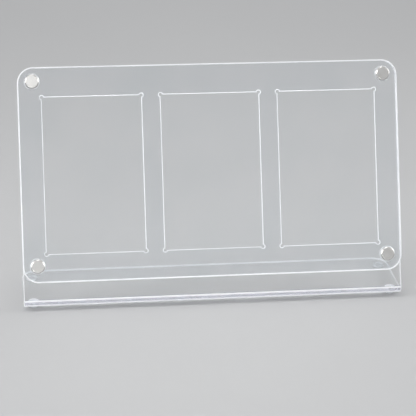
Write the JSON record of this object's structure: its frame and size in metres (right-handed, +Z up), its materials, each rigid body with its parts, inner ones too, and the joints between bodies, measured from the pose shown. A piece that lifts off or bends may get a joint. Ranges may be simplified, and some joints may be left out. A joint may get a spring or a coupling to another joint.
{
  "type": "trading card display case",
  "caption": "Clear leaning case for a row of trading cards: bent stand, pocket layer with card windows and a cover plate held on by disc magnets at its corners.",
  "frame": {"origin": "on the table, under the middle of the case's width and depth", "axes": "+X along the row of cards, to the right as seen from the front; +Y from the front to the back; +Z up"},
  "size_m": [0.217, 0.052, 0.129],
  "materials": {
    "clear_sheet": "gloss",
    "clear_frame": "gloss",
    "clear_cover": "gloss",
    "magnet_nickel": "polished",
    "clear_bumper": "satin"
  },
  "bodies": {
    "stand": {"back_panel": "clear_sheet", "pocket_frame": "clear_frame", "rear_magnet_top_left": "magnet_nickel", "rear_magnet_top_right": "magnet_nickel", "rear_magnet_bottom_left": "magnet_nickel", "rear_magnet_bottom_right": "magnet_nickel", "bumper_front_left": "clear_bumper", "bumper_front_right": "clear_bumper", "bumper_rear_left": "clear_bumper", "bumper_rear_right": "clear_bumper"},
    "cover": {"front_cover": "clear_cover", "front_magnet_top_left": "magnet_nickel", "front_magnet_top_right": "magnet_nickel", "front_magnet_bottom_left": "magnet_nickel", "front_magnet_bottom_right": "magnet_nickel"}
  },
  "joints": [
    {"name": "cover_pull", "type": "slide", "parent": "stand", "child": "cover", "axis": [0, -0.9272, 0.3746], "range_m": [0, 0.04]}
  ]
}
